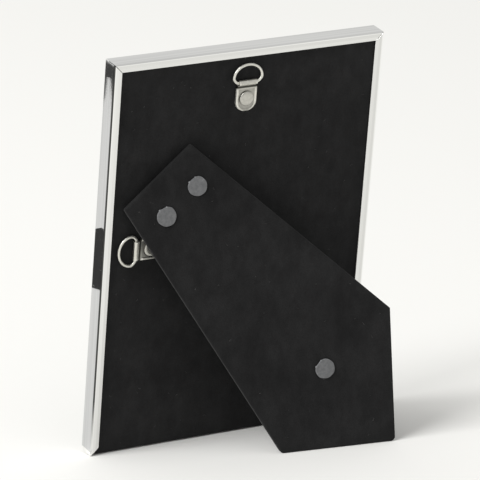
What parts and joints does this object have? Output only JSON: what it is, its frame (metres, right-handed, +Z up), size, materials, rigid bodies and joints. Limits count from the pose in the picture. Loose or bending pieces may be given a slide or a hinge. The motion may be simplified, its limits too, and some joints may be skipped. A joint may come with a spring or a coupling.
{
  "type": "photo frame",
  "caption": "Tabletop photo frame with mitred polished metal rails, glass, a slide-in velvet back, a folding easel leg and ring hangers for either way up.",
  "frame": {"origin": "on the table, at the middle of the footprint of the open, standing frame", "axes": "+Z up, -Y towards the viewer of the picture, +Y towards the easel leg, +X to the right as seen from the front"},
  "size_m": [0.1306, 0.0548, 0.1808],
  "materials": {
    "polished": "mirror polished silver colour",
    "steel": "plain pressed steel",
    "nickel": "satin nickel",
    "grey_rivet": "flat matte grey",
    "glass": "clear float glass",
    "paper": "plain white paper",
    "card": "grey board",
    "board": "grey fibreboard",
    "velvet": "short black velvet",
    "lining": "black lining paper",
    "ribbon": "black woven ribbon"
  },
  "bodies": {
    "frame": {"rail_left": "polished", "rail_top": "polished", "rail_right": "polished", "rail_bottom": "polished", "brace_bottom_left": "steel", "brace_top_left": "steel", "brace_top_right": "steel", "brace_bottom_right": "steel", "glass": "glass", "print": "paper", "filler_card": "card"},
    "back": {"back_board": "board", "back_velvet": "velvet", "top_hanger_strap": "nickel", "top_hanger_rivet": "nickel", "side_hanger_strap": "nickel", "side_hanger_rivet": "nickel", "hinge_panel_leaf": "steel", "hinge_pin": "steel", "hinge_panel_rivet_1": "steel", "hinge_panel_rivet_2": "steel", "stay_anchor_rivet": "steel"},
    "leg": {"leg_board": "board", "leg_velvet": "velvet", "leg_lining": "lining", "hinge_leg_leaf": "steel", "leg_rivet_1": "grey_rivet", "leg_rivet_2": "grey_rivet", "stay_rivet": "grey_rivet", "stay_ribbon": "ribbon"},
    "top_ring": {"top_ring": "nickel"},
    "side_ring": {"side_ring": "nickel"}
  },
  "joints": [
    {"name": "back_slide", "type": "slide", "parent": "frame", "child": "back", "axis": [0, -0.1483, -0.9889], "range_m": [0, 0.17]},
    {"name": "leg_fold", "type": "hinge", "parent": "back", "child": "leg", "pos_m": [0.0408, 0.00056, 0.12527], "axis": [0.7547, -0.0973, -0.6488], "range_deg": [-14, 0], "deforming": ["stay_ribbon"]},
    {"name": "top_ring_swing", "type": "hinge", "parent": "back", "child": "top_ring", "pos_m": [0.001, 0.00648, 0.16443], "axis": [-1, 0, 0], "range_deg": [0, 165]},
    {"name": "side_ring_swing", "type": "hinge", "parent": "back", "child": "side_ring", "pos_m": [0.0498, -0.00406, 0.09411], "axis": [0, 0.1483, 0.9889], "range_deg": [0, 75]}
  ]
}
